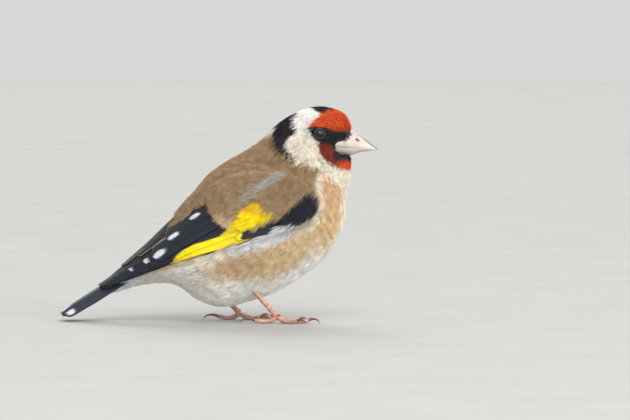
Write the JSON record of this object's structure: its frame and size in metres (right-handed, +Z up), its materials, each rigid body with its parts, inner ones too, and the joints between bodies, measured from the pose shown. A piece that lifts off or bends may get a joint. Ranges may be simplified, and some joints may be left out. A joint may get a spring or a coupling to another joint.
{
  "type": "european goldfinch",
  "caption": "Life-size still model of a European goldfinch standing with folded wings, red face, conical bill, yellow wing bar and forked tail.",
  "frame": {"origin": "on the floor, at the middle of the bottom of the whole bird's box", "axes": "+X ahead of the bird, +Y to its left, +Z up"},
  "size_m": [0.1105, 0.045, 0.0748],
  "materials": {
    "crown_plumage": "soft pale plumage with red, black and white markings",
    "body_plumage": "soft brown, buff and white plumage",
    "flight_feathers": "glossy black feathers with a yellow band and white tips",
    "bill_horn": "pale pinkish ivory horn with a dark ridge near the tip",
    "eye_gloss": "dark wet gloss",
    "leg_skin": "pinkish brown scaly skin",
    "claw_horn": "dark brown horn"
  },
  "bodies": {
    "root": {"head": "crown_plumage", "neck": "body_plumage", "torso": "body_plumage", "upper_mandible": "bill_horn", "lower_mandible": "bill_horn", "right_eye": "eye_gloss", "left_eye": "eye_gloss", "tail": "flight_feathers", "right_wing": "flight_feathers", "left_wing": "flight_feathers", "right_shank": "leg_skin", "right_toe_hind": "leg_skin", "right_toe_middle": "leg_skin", "right_toe_inner": "leg_skin", "right_toe_outer": "leg_skin", "right_claw_hind": "claw_horn", "right_claw_middle": "claw_horn", "right_claw_inner": "claw_horn", "right_claw_outer": "claw_horn", "left_shank": "leg_skin", "left_toe_hind": "leg_skin", "left_toe_middle": "leg_skin", "left_toe_inner": "leg_skin", "left_toe_outer": "leg_skin", "left_claw_hind": "claw_horn", "left_claw_middle": "claw_horn", "left_claw_inner": "claw_horn", "left_claw_outer": "claw_horn"}
  },
  "joints": []
}
